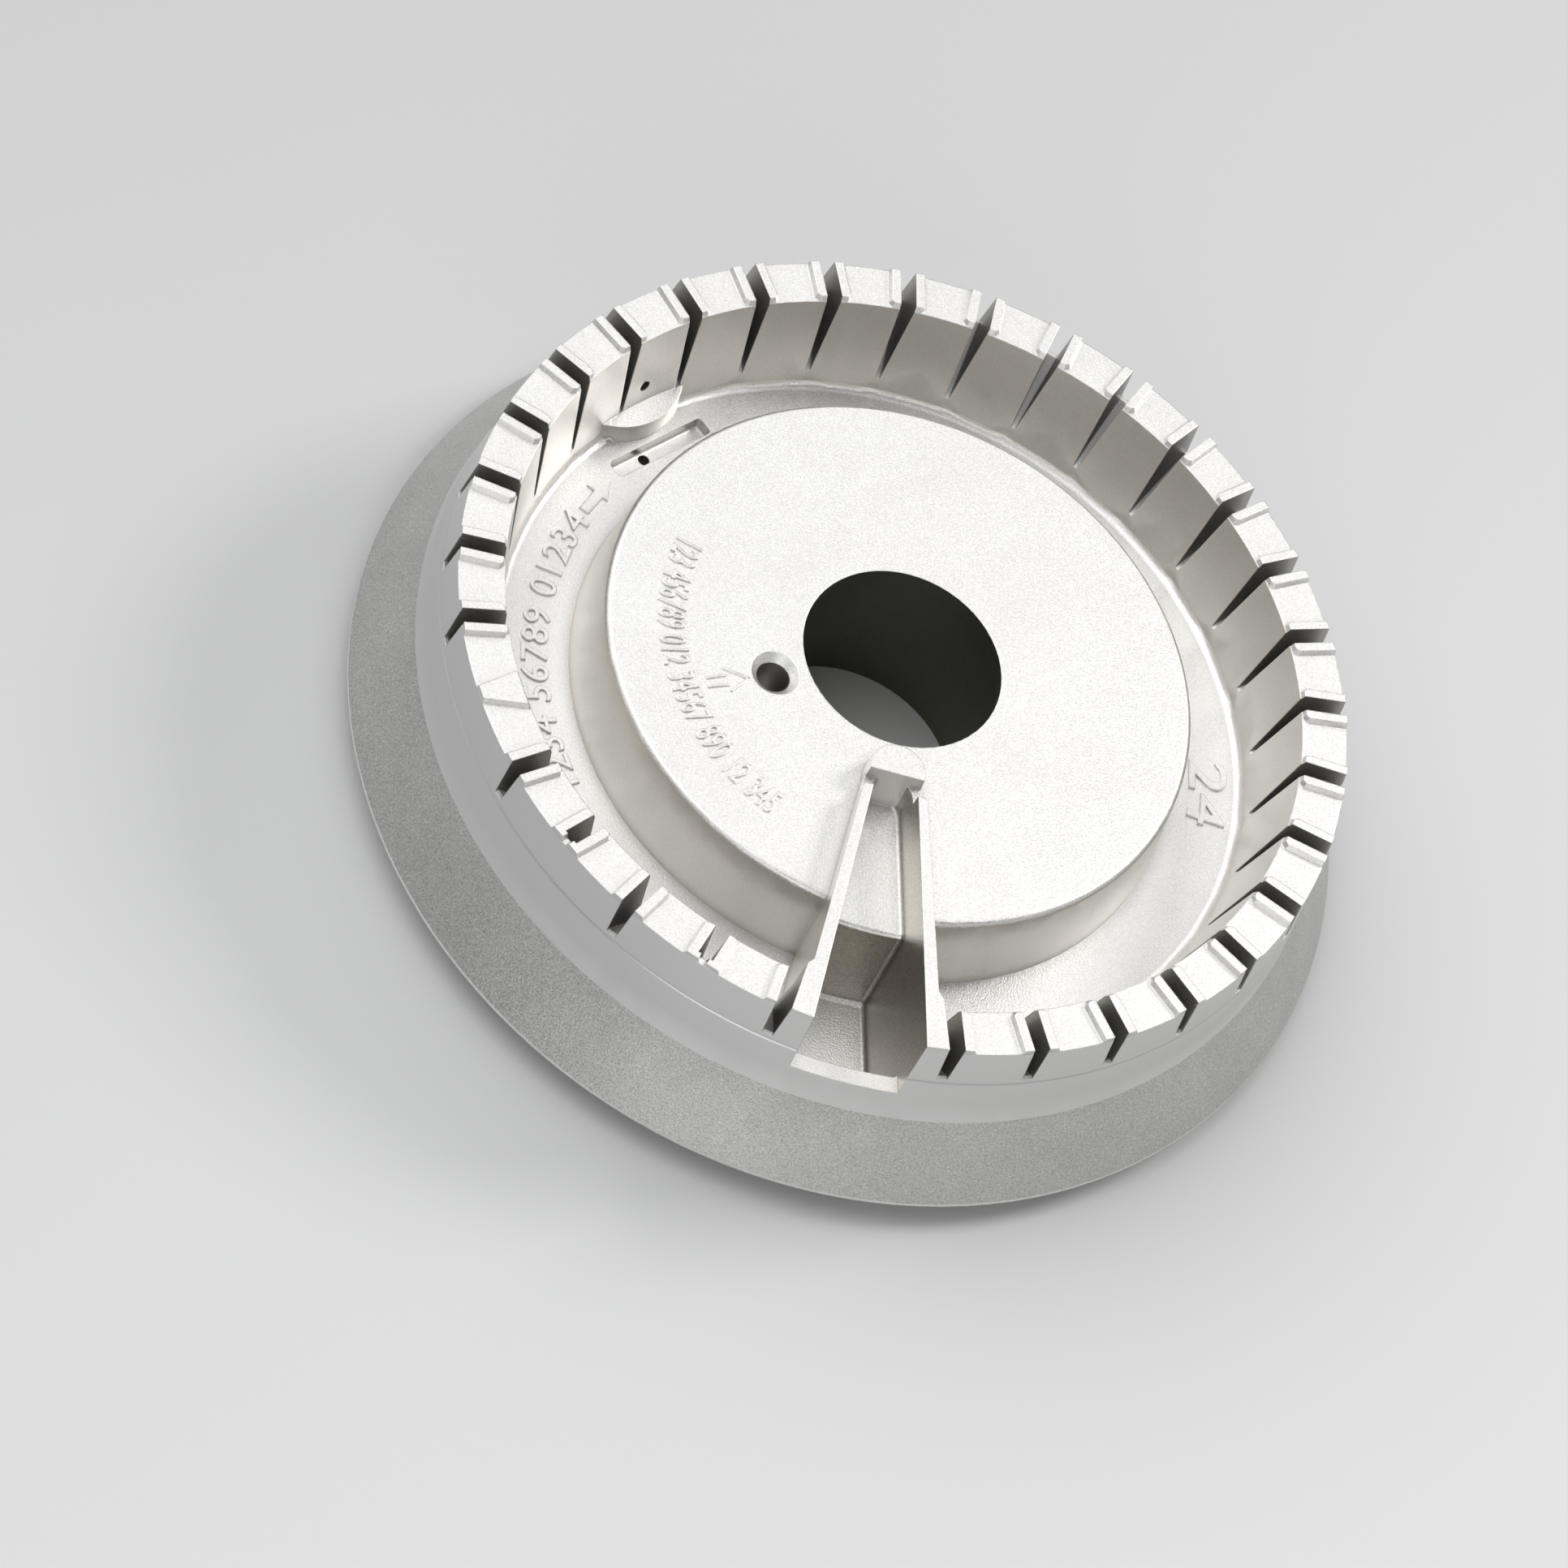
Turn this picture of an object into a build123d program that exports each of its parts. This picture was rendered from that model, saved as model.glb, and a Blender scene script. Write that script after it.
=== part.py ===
from build123d import *
import os
from math import cos, radians, sin

# Gas burner base: one die-cast aluminium piece that carries the port ring of a sealed burner.
# All lengths are millimetres. Z is up, and the origin is at the middle of the throat tube's
# lower end. The ignition pocket opens toward -Y.

# Heights of the outside, from the throat tube's lower end up to the skirt rim, and from the rim
# up to the seat, which is the flat top of the port ring
tube_drop = 3.0
seat_rise = 21.25
bead_height = 0.6

# Depths below the seat
band_line_depth = 5.4
skirt_foot_depth = 12.0
plateau_depth = 2.3
channel_depth = 12.6
ring_core_depth = 11.1

# Radii of the skirt and the port ring
ring_radius = 50.0
seat_width = 5.1
band_line_radius = 50.5
skirt_foot_radius = 51.3
rim_radius = 56.2
rim_lip = 0.45

# Radii of the gas channel, the plateau and the throat tube
ring_lean = 2.4
plateau_root_radius = 34.2
plateau_radius = 33.0
throat_radius = 11.2
throat_land = 1.8
throat_step = 0.5
throat_mouth_radius = 13.0
tube_wall = 2.4
spigot_length = 12.0
spigot_step = 0.2

# Wall thicknesses, the cut of the band line, and the bevels of the plateau's and channel's edges
floor_wall = 2.3
band_wall = 2.5
rim_wall = 2.2
band_line_cut = 0.18
plateau_edge = 0.6
channel_edge = 0.8

# Ring of flame ports: equal places counted from the pocket, most of them with an open slot
places = 33
wedge_place = 27
blind_places = (29, 31)
slot_width = 1.75
slot_root_width = 0.5
slot_root_depth = 10.7
slot_mouth_depth = 4.6
blind_wall = 0.8
bead_width = 1.3
bead_slope = 25.0
bead_corner = 0.5
bead_setback = 0.06
wedge_outer_width = 1.6
wedge_inner_width = 4.8

# Ignition pocket
pocket_end_distance = 18.9
pocket_end_radius = 2.45
mouth_width = 12.4
pocket_draft = 2.4
upper_floor_depth = 5.0
lower_floor_depth = 16.6
sill_depth = 7.9
sill_wall = 1.6
sill_slope = 0.5
step_radius = 33.5
step_slope = 1.4
step_rounding = 0.6
floor_rounding = 0.7
pocket_rounding = 0.5

# Walls of the pocket, its housing below the floors, and the post at its inner end
inner_wall = 1.05
outer_wall = 1.5
wall_start = 19.1
wall_end_rounding = 0.5
housing_wall = 2.0
ledge_depth = 1.0
post_radius = 3.05
post_distance = 16.4
post_face_distance = 17.0
post_draft = 4.0

# Bleed boss, trough and small holes beside the ring
bleed_angle = 135.0
boss_radius = 9.0
boss_distance = 48.9
boss_height = 2.5
boss_draft = 8.0
boss_seat = 1.0
bleed_hole = 1.3
bleed_hole_depth = 7.7
trough_length = 13.4
trough_width = 2.15
trough_depth = 1.3
trough_distance = 38.2
trough_draft = 10.0
trough_corner = 0.5
trough_rounding = 0.3
trough_hole_shift = 1.9

# Countersunk screw hole in the plateau
screw_hole = 3.7
screw_head = 5.4
screw_distance = 15.1
screw_boss = 7.5
screw_boss_depth = 8.0
drill_past = 0.5

# Overlap by which cutters run past the faces that they open
clearance = 1.0

# Heights worked out from the sizes above
rim_z = tube_drop
seat_z = rim_z + seat_rise
top_z = seat_z + bead_height
band_line_z = seat_z - band_line_depth
skirt_foot_z = seat_z - skirt_foot_depth
plateau_z = seat_z - plateau_depth
channel_z = seat_z - channel_depth
ring_core_z = seat_z - ring_core_depth
plateau_under_z = plateau_z - floor_wall
channel_under_z = channel_z - floor_wall
ledge_z = seat_z - ledge_depth
upper_floor_z = seat_z - upper_floor_depth
lower_floor_z = seat_z - lower_floor_depth
sill_z = seat_z - sill_depth

# Radii and angles worked out from the sizes above
seat_inner_radius = ring_radius - seat_width
channel_radius = seat_inner_radius - ring_lean
bead_start = seat_inner_radius + bead_setback
bead_finish = ring_radius - bead_setback
core_radius = channel_radius + floor_wall
skirt_inside_radius = skirt_foot_radius - band_wall
throat_bore_radius = throat_radius + throat_step
spigot_radius = throat_mouth_radius + tube_wall
tube_radius = spigot_radius + spigot_step
sill_radius = band_line_radius - sill_wall
beyond_radius = skirt_foot_radius + clearance
pocket_angle = 270.0
pitch = 360 / places
half_slot = slot_width / 2
port_places = [place for place in range(1, places) if place != wedge_place]
open_places = [place for place in port_places if place not in blind_places]


def place_angle(place):
    """Direction of one place of the port ring, counted from the pocket."""
    return pocket_angle + place * pitch


def pocket_half(distance):
    """Half the clear width of the pocket at its wall tops, at a distance from the centre."""
    slope = (mouth_width / 2 - pocket_end_radius) / (ring_radius - pocket_end_distance)
    return pocket_end_radius + slope * (distance - pocket_end_distance)


def beside_slot(distance):
    """Point on the near side of the slot next to the pocket, as wide as the slot's root."""
    turn = radians(pitch)
    x = distance * sin(turn) - slot_root_width / 2 * cos(turn)
    y = -distance * cos(turn) - slot_root_width / 2 * sin(turn)
    return (x, y)


def corner(sketch, point):
    """Corner of a sketch that lies nearest to a point."""
    return sketch.vertices().sort_by_distance(point)[0]


def both_sides(points):
    """Outline with the points of the +X side and their mirror images."""
    return points + [(-x, y) for x, y in reversed(points)]


# Plan of the two pocket walls as one shape: narrow at the post, as wide as the gap between the
# first slots at the ring
wall_points = [
    (pocket_half(wall_start) + inner_wall, -wall_start),
    (pocket_half(channel_radius) + outer_wall, -channel_radius),
    beside_slot(seat_inner_radius),
    beside_slot(beyond_radius),
]
housing_points = [(post_radius, -post_distance)] + wall_points

# Housing of the ignition pocket: full walls above, and a floor that steps down under the channel
with BuildPart() as housing:
    with BuildSketch(Plane.XY.offset(lower_floor_z - housing_wall)):
        with BuildLine():
            Polyline(*both_sides(housing_points), close=True)
        make_face()
    extrude(amount=ledge_z - lower_floor_z + housing_wall)
    with BuildSketch(Plane.XY.offset(ledge_z)) as wall_plan:
        with BuildLine():
            Polyline(*both_sides(wall_points), close=True)
        make_face()
        fillet([corner(wall_plan, end) for end in both_sides(wall_points[:1])], wall_end_rounding)
    extrude(amount=top_z - ledge_z)
    with BuildSketch(Plane.XZ):
        with BuildLine():
            Polyline(
                (throat_radius, upper_floor_z - housing_wall),
                (step_radius - housing_wall, upper_floor_z - housing_wall),
                (step_radius + step_slope - housing_wall, lower_floor_z - housing_wall),
                (ring_radius, lower_floor_z - housing_wall),
                (ring_radius, top_z),
                (throat_radius, top_z),
                close=True,
            )
        make_face()
    revolve(axis=Axis.Z, mode=Mode.INTERSECT)

# Hollow of the ignition pocket: a drafted plan with a round inner end, kept inside a revolved
# section that gives the upper floor, the step, the lower floor and the sill
with BuildPart() as hollow:
    with BuildSketch(Plane.XY.offset(top_z)) as hollow_plan:
        with BuildLine():
            Line(
                (pocket_half(beyond_radius), -beyond_radius),
                (-pocket_half(beyond_radius), -beyond_radius),
            )
        with Locations((0, -pocket_end_distance)):
            Circle(pocket_end_radius)
        make_hull()
    extrude(amount=lower_floor_z - top_z - clearance, taper=pocket_draft)
    extrude(hollow_plan.sketch, amount=clearance)
    with BuildSketch(Plane.XZ) as hollow_section:
        with BuildLine():
            Polyline(
                (throat_radius, upper_floor_z),
                (step_radius, upper_floor_z),
                (step_radius + step_slope, lower_floor_z),
                (sill_radius - sill_slope, lower_floor_z),
                (sill_radius, sill_z),
                (beyond_radius, sill_z),
                (beyond_radius, top_z + clearance),
                (throat_radius, top_z + clearance),
                close=True,
            )
        make_face()
        fillet(corner(hollow_section, (step_radius, upper_floor_z)), step_rounding)
        fillet(corner(hollow_section, (step_radius + step_slope, lower_floor_z)), floor_rounding)
        fillet(corner(hollow_section, (sill_radius - sill_slope, lower_floor_z)), floor_rounding)
    revolve(axis=Axis.Z, mode=Mode.INTERSECT)
    inner_end = (0, pocket_end_radius - pocket_end_distance, upper_floor_z)
    fillet(hollow.edges().sort_by_distance(inner_end)[0], pocket_rounding)

# Half-round post that closes the pocket's inner end, with its flat face toward the pocket
with BuildPart() as post:
    with BuildSketch(Plane.XY.offset(top_z)):
        with Locations((0, -post_distance)):
            Circle(post_radius)
        with Locations((0, -post_face_distance)):
            Rectangle(
                4 * post_radius, 2 * post_radius, align=(Align.CENTER, Align.MIN), mode=Mode.INTERSECT
            )
    extrude(amount=upper_floor_z - housing_wall - top_z, taper=-post_draft)

# Cutter for a port: a slot with leaning sides whose narrow root climbs outward
with BuildPart() as port:
    with BuildSketch(Plane.YZ.offset(channel_radius - clearance)):
        with BuildLine():
            Polyline(
                (half_slot, top_z),
                (slot_root_width / 2, seat_z - slot_root_depth),
                (-slot_root_width / 2, seat_z - slot_root_depth),
                (-half_slot, top_z),
                close=True,
            )
        make_face()
    extrude(amount=beyond_radius - channel_radius + clearance)
    with BuildSketch(Plane.XZ):
        with BuildLine():
            Polyline(
                (channel_radius - clearance, seat_z - slot_root_depth),
                (channel_radius, seat_z - slot_root_depth),
                (ring_radius, seat_z - slot_mouth_depth),
                (beyond_radius, seat_z - slot_mouth_depth),
                (beyond_radius, top_z),
                (channel_radius - clearance, top_z),
                close=True,
            )
        make_face()
    extrude(amount=slot_width, both=True, mode=Mode.INTERSECT)

# Cutter for a blind port, which stops short of the outside
with BuildPart() as blind_port:
    add(port.part)
    Cylinder(ring_radius - blind_wall, 2 * top_z, mode=Mode.INTERSECT)

# Two beads that stand along both edges of a port
with BuildPart() as bead_pair:
    with BuildSketch(Plane.XY.offset(seat_z)) as bead_plan:
        with BuildLine():
            Polyline(
                (bead_start, slot_root_width / 2),
                (beyond_radius, slot_root_width / 2),
                (beyond_radius, half_slot + bead_width),
                (bead_start, half_slot + bead_width),
                close=True,
            )
        make_face()
        chamfer(corner(bead_plan, (bead_start, half_slot + bead_width)), bead_corner)
    extrude(amount=bead_height, taper=bead_slope)
    split(bisect_by=Plane.YZ.offset(bead_finish), keep=Keep.BOTTOM)
    mirror(about=Plane.XZ)

# Raised wedge that marks the place without a port
with BuildPart() as wedge:
    with BuildSketch(Plane.XY.offset(seat_z)):
        with BuildLine():
            Polyline(
                (bead_start, wedge_inner_width / 2),
                (bead_start, -wedge_inner_width / 2),
                (ring_radius + clearance, -wedge_outer_width / 2),
                (ring_radius + clearance, wedge_outer_width / 2),
                close=True,
            )
        make_face()
    extrude(amount=bead_height, taper=bead_slope)
    split(bisect_by=Plane.YZ.offset(bead_finish), keep=Keep.BOTTOM)

# Half-moon boss on the channel floor, against the ring
with BuildPart() as boss:
    with BuildSketch(Plane.XY.offset(channel_z)):
        with Locations((boss_distance, 0)):
            Circle(boss_radius)
    extrude(amount=boss_height, taper=boss_draft)
    Cylinder(channel_radius + boss_seat, 2 * top_z, mode=Mode.INTERSECT)

# Trough in the channel floor beside the boss
with BuildPart() as trough:
    with BuildSketch(Plane.XY.offset(channel_z)):
        with Locations((trough_distance, 0)):
            RectangleRounded(trough_width, trough_length, trough_corner)
    extrude(amount=-trough_depth, taper=trough_draft)
    fillet(trough.edges().group_by(Axis.Z)[0], trough_rounding)

# The casting
with BuildPart() as burner_base:
    with BuildSketch(Plane.XZ) as section:
        with BuildLine():
            Polyline(
                (throat_radius, plateau_z),
                (plateau_radius, plateau_z),
                (plateau_root_radius, channel_z),
                (channel_radius, channel_z),
                (seat_inner_radius, seat_z),
                (ring_radius, seat_z),
                (band_line_radius, band_line_z + band_line_cut),
                (band_line_radius - band_line_cut, band_line_z),
                (band_line_radius, band_line_z - band_line_cut),
                (skirt_foot_radius, skirt_foot_z),
                (rim_radius, rim_z + rim_lip),
                (rim_radius, rim_z),
                (rim_radius - rim_wall, rim_z),
                (skirt_inside_radius, skirt_foot_z - band_wall / 2),
                (skirt_inside_radius, ring_core_z),
                (core_radius, ring_core_z),
                (core_radius, channel_under_z),
                (plateau_root_radius - floor_wall, channel_under_z),
                (plateau_radius - floor_wall, plateau_under_z),
                (tube_radius, plateau_under_z),
                (tube_radius, spigot_length),
                (spigot_radius, spigot_length),
                (spigot_radius, 0),
                (throat_mouth_radius, 0),
                (throat_bore_radius, plateau_z - throat_land - throat_step),
                (throat_radius, plateau_z - throat_land),
                close=True,
            )
        make_face()
        chamfer(corner(section, (plateau_radius, plateau_z)), plateau_edge)
        chamfer(corner(section, (channel_radius, channel_z)), channel_edge)
    revolve(axis=Axis.Z)

    # Screw boss under the plateau
    with BuildSketch(Plane.XY.offset(plateau_under_z)):
        with PolarLocations(screw_distance, 1, start_angle=place_angle(wedge_place)):
            Circle(screw_boss / 2)
    extrude(amount=plateau_z - screw_boss_depth - plateau_under_z)

    # Pocket, then the post that trims its inner end
    add(housing.part)
    add(hollow.part, mode=Mode.SUBTRACT)
    add(post.part)

    # Beads, wedge and ports
    with Locations([Rotation(0, 0, place_angle(place)) for place in port_places]):
        add(bead_pair.part)
    with Locations(Rotation(0, 0, place_angle(wedge_place))):
        add(wedge.part)
    with Locations([Rotation(0, 0, place_angle(place)) for place in open_places]):
        add(port.part, mode=Mode.SUBTRACT)
    with Locations([Rotation(0, 0, place_angle(place)) for place in blind_places]):
        add(blind_port.part, mode=Mode.SUBTRACT)

    # Boss, trough and bleed holes
    with Locations(Rotation(0, 0, bleed_angle)):
        add(boss.part)
        add(trough.part, mode=Mode.SUBTRACT)
    with BuildSketch(Plane.XY.offset(channel_z)):
        with PolarLocations(trough_distance, 1, start_angle=bleed_angle):
            with Locations((0, trough_hole_shift)):
                Circle(bleed_hole / 2)
    extrude(amount=-channel_z, mode=Mode.SUBTRACT)
    bleed_plane = Plane.XZ.rotated((0, 0, bleed_angle + 90)).offset(channel_radius - clearance)
    with BuildSketch(bleed_plane):
        with Locations((0, seat_z - bleed_hole_depth)):
            Circle(bleed_hole / 2)
    extrude(amount=beyond_radius - channel_radius, mode=Mode.SUBTRACT)

    # Screw hole, drilled and countersunk from above
    with Locations(Plane.XY.offset(plateau_z)):
        with PolarLocations(screw_distance, 1, start_angle=place_angle(wedge_place)):
            CounterSinkHole(screw_hole / 2, screw_head / 2, screw_boss_depth + drill_past, 90)

burner_base.part.label = "burner_base"
os.makedirs("parts", exist_ok=True)
export_step(burner_base.part, "parts/burner_base.step")
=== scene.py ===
"""Looks of a gas burner base: one die-cast, bead-blasted aluminium casting on a pale floor.

Lengths are in millimetres and become metres where a mesh or a node is made. The lamps and the
floor are in metres, as their own notes say.
"""

from __future__ import annotations

import logging
import math
from dataclasses import dataclass
from enum import Enum

import bmesh
import bpy
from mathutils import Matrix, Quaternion, Vector

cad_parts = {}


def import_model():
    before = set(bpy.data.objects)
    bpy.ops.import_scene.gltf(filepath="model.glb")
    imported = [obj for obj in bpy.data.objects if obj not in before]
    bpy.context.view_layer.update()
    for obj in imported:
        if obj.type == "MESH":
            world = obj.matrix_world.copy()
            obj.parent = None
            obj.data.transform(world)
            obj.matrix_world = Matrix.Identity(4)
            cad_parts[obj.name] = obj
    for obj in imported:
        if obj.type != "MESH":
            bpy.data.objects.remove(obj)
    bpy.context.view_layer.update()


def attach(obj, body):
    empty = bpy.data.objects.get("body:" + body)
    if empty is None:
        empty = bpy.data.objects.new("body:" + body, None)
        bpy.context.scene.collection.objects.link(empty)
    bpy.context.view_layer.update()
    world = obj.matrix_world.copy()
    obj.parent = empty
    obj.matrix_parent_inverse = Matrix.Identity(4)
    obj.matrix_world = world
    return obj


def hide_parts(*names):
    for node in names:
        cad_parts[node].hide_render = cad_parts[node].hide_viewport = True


Pair = tuple[float, float]
Triple = tuple[float, float, float]
Socket = bpy.types.NodeSocket
Tree = bpy.types.NodeTree

LOG = logging.getLogger("burner_base")
MM = 0.001
CHANNEL_FLOOR = 11.65
PLATEAU_TOP = 21.95

# Patterns that all the finishes share. A noise is its detail and its roughness.
GRAIN_NOISE = (2.0, 0.7)
CLOUD_NOISE = (3.0, 0.55)
CLOUD_SIZE = 9.0
CLOUD_SHARE = 0.14
NOISE_RANGE = (0.3, 0.7)
# Painted shade in creases: how far the occlusion looks, and the part of its range that darkens the
# colour.
SHADE_CREASE_WIDTH = 1.6
SHADE_CREASE_RANGE = (0.3, 0.9)
TURNING_DEPTH = 0.001
SHADING_SAMPLES = 4


def maths(tree: Tree, operation: str, *values: float | Socket) -> Socket:
    """Add a maths node to a tree.

    Args:
        tree: Tree that gets the node.
        operation: What the node works out.
        values: Its inputs in order, each a number or a socket.

    Returns:
        The socket with the result.
    """
    node = tree.nodes.new("ShaderNodeMath")
    node.operation = operation
    for slot, value in zip(node.inputs, values):
        if isinstance(value, (int, float)):
            slot.default_value = value
        else:
            tree.links.new(value, slot)
    return node.outputs["Value"]


def spread(
    tree: Tree, value: Socket, reach: Pair, result: Pair = (0.0, 1.0), kind: str = "LINEAR"
) -> Socket:
    """Add a node that turns one range of a value into another.

    Args:
        tree: Tree that gets the node.
        value: Socket with the value.
        reach: Lowest and highest value that count.
        result: What those two become.
        kind: How the values between them go from one to the other.

    Returns:
        The socket with the result.
    """
    node = tree.nodes.new("ShaderNodeMapRange")
    node.interpolation_type = kind
    for label, number in zip(("From Min", "From Max", "To Min", "To Max"), (*reach, *result)):
        node.inputs[label].default_value = number
    tree.links.new(value, node.inputs["Value"])
    return node.outputs["Result"]


def along(tree: Tree, place: Socket, direction: Triple | Vector) -> Socket:
    """Add a node that measures how far a place lies along a direction.

    Args:
        tree: Tree that gets the node.
        place: Socket with the place.
        direction: The direction.

    Returns:
        The socket with the distance.
    """
    node = tree.nodes.new("ShaderNodeVectorMath")
    node.operation = "DOT_PRODUCT"
    node.inputs[1].default_value = direction
    tree.links.new(place, node.inputs[0])
    return node.outputs["Value"]


def put(name: str, data: bpy.types.ID) -> bpy.types.Object:
    """Make an object and put it in the scene.

    Args:
        name: Name of the object.
        data: Its mesh, letters, light or camera.

    Returns:
        The object.
    """
    made = bpy.data.objects.new(name, data)
    bpy.context.scene.collection.objects.link(made)
    return made


def bake(piece: bpy.types.Object) -> bpy.types.Object:
    """Turn an object with modifiers into a plain mesh object of the same name.

    Args:
        piece: Object whose modifiers are to be evaluated.

    Returns:
        The plain object, riding on the body.
    """
    graph = bpy.context.evaluated_depsgraph_get()
    mesh = bpy.data.meshes.new_from_object(
        piece.evaluated_get(graph), preserve_all_data_layers=True, depsgraph=graph
    )
    name = piece.name
    bpy.data.objects.remove(piece)
    mesh.name = name
    finished = put(name, mesh)
    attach(finished, "root")
    return finished


def shade(piece: bpy.types.Object, crisp: float) -> bpy.types.Object:
    """Shade a piece smooth with crisp corners, and report it.

    Args:
        piece: Piece to shade.
        crisp: Edges that turn by more than this, in degrees, stay crisp.

    Returns:
        The same piece.
    """
    piece.data.shade_smooth()
    piece.data.set_sharp_from_angle(angle=math.radians(crisp))
    LOG.info("%s: %d faces", piece.name, len(piece.data.polygons))
    return piece


class Zone(Enum):
    """Parts of the casting's skin, each with a finish of its own; the walls, slots, bore and pocket
    walls are darker as painted shade, the pocket and channel floors paler as painted light, and the
    rim's lip pale as a painted highlight.
    """

    BLASTED = "blasted_skin"
    SKIRT = "rough_skirt"
    BAND = "turned_band"
    PADS = "ground_pads"
    WALLS = "drafted_walls"
    THROAT = "throat_bore"
    UNDER = "raw_underside"
    SLOTS = "port_slots"
    POCKET = "pocket_floor"
    POCKET_WALLS = "pocket_walls"
    CHANNEL = "channel_floor"


@dataclass(frozen=True)
class Finish:
    """Bare cast aluminium after one kind of surface treatment; some finishes are darker or paler
    copies of the metal, as painted shade or painted light.

    Args:
        zone: Part of the skin that has the finish. Its value names the material.
        colour: Linear base colour.
        roughness: Middle roughness of the surface.
        swing: How far the roughness strays either way.
        mottle: How far the base colour strays either way, as a share.
        grain: Size of one grain.
        relief: Height of the grain.
        softness: Radius by which shading rounds the edges.
        turning: Spacing of turning marks up the wall, or 0 for none.
        crease_shade: How much darker the base colour is painted in narrow creases, as painted
            shade, as a share.
    """

    zone: Zone
    colour: Triple
    roughness: float
    swing: float
    mottle: float
    grain: float
    relief: float
    softness: float = 0.2
    turning: float = 0.0
    crease_shade: float = 0.3

    def material(self) -> bpy.types.Material:
        """Build the material, or hand back the one that exists.

        Returns:
            The material with its nodes.
        """
        known = bpy.data.materials.get(self.zone.value)
        if known:
            return known
        made = bpy.data.materials.new(self.zone.value)
        made.use_nodes = True
        tree = made.node_tree
        shader = tree.nodes["Principled BSDF"]
        shader.inputs["Metallic"].default_value = 1.0
        place = tree.nodes.new("ShaderNodeTexCoord").outputs["Object"]
        grain = self._noise(tree, place, self.grain, GRAIN_NOISE)
        cloud = self._noise(tree, place, CLOUD_SIZE, CLOUD_NOISE)
        clouds = maths(tree, "MULTIPLY", cloud, CLOUD_SHARE)
        self._colour(tree, shader, maths(tree, "MULTIPLY_ADD", grain, 1 - CLOUD_SHARE, clouds))
        self._gloss(tree, shader, grain)
        self._surface(tree, shader, place, grain)
        return made

    def _noise(self, tree: Tree, place: Socket, size: float, kind: Pair) -> Socket:
        """Add noise to the material.

        Args:
            tree: Tree of the material.
            place: Socket with the place.
            size: About how far across its features are.
            kind: Its detail and its roughness.

        Returns:
            The socket with the noise.
        """
        node = tree.nodes.new("ShaderNodeTexNoise")
        node.inputs["Scale"].default_value = 1 / (size * MM)
        node.inputs["Detail"].default_value, node.inputs["Roughness"].default_value = kind
        tree.links.new(place, node.inputs["Vector"])
        return node.outputs["Fac"]

    def _colour(self, tree: Tree, shader: bpy.types.Node, blend: Socket) -> None:
        """Give the base colour, which strays with the grain and is darkened in creases as painted
        shade.

        Args:
            tree: Tree of the material.
            shader: Its surface shader.
            blend: Socket with the grain and the clouds.
        """
        tint = tree.nodes.new("ShaderNodeMix")
        tint.data_type = "RGBA"
        dark, pale = [socket for socket in tint.inputs if socket.type == "RGBA"]
        dark.default_value = (*[c * (1 - self.mottle) for c in self.colour], 1.0)
        pale.default_value = (*[min(1.0, c * (1 + self.mottle)) for c in self.colour], 1.0)
        tree.links.new(spread(tree, blend, NOISE_RANGE), tint.inputs["Factor"])
        # Painted shade: ambient occlusion darkens the base colour in creases.
        crease_occlusion = tree.nodes.new("ShaderNodeAmbientOcclusion")
        crease_occlusion.samples = SHADING_SAMPLES
        crease_occlusion.only_local = True
        crease_occlusion.inputs["Distance"].default_value = SHADE_CREASE_WIDTH * MM
        crease_shade_factor = spread(tree, crease_occlusion.outputs["AO"], SHADE_CREASE_RANGE, (1 - self.crease_shade, 1.0))
        shaded = tree.nodes.new("ShaderNodeVectorMath")
        shaded.operation = "SCALE"
        result = next(socket for socket in tint.outputs if socket.type == "RGBA")
        tree.links.new(result, shaded.inputs["Vector"])
        tree.links.new(crease_shade_factor, shaded.inputs["Scale"])
        tree.links.new(shaded.outputs["Vector"], shader.inputs["Base Color"])

    def _gloss(self, tree: Tree, shader: bpy.types.Node, grain: Socket) -> None:
        """Give the roughness, which strays with the grain.

        Args:
            tree: Tree of the material.
            shader: Its surface shader.
            grain: Socket with the grain.
        """
        limits = (self.roughness - self.swing, self.roughness + self.swing)
        tree.links.new(spread(tree, grain, NOISE_RANGE, limits), shader.inputs["Roughness"])

    def _surface(self, tree: Tree, shader: bpy.types.Node, place: Socket, grain: Socket) -> None:
        """Give the rounded edges, the grain's height and the turning marks.

        Args:
            tree: Tree of the material.
            shader: Its surface shader.
            place: Socket with the place.
            grain: Socket with the grain.
        """
        rounded = tree.nodes.new("ShaderNodeBevel")
        rounded.samples = SHADING_SAMPLES
        rounded.inputs["Radius"].default_value = self.softness * MM
        normal = rounded.outputs["Normal"]
        layers = [(grain, self.relief)]
        if self.turning > 0:
            height = tree.nodes.new("ShaderNodeSeparateXYZ")
            tree.links.new(place, height.inputs["Vector"])
            turns = 2 * math.pi / (self.turning * MM)
            wave = maths(tree, "MULTIPLY", height.outputs["Z"], turns)
            layers.append((maths(tree, "SINE", wave), TURNING_DEPTH))
        for pattern, depth in layers:
            bump = tree.nodes.new("ShaderNodeBump")
            bump.inputs["Distance"].default_value = depth * MM
            tree.links.new(pattern, bump.inputs["Height"])
            tree.links.new(normal, bump.inputs["Normal"])
            normal = bump.outputs["Normal"]
        tree.links.new(normal, shader.inputs["Normal"])


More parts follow.
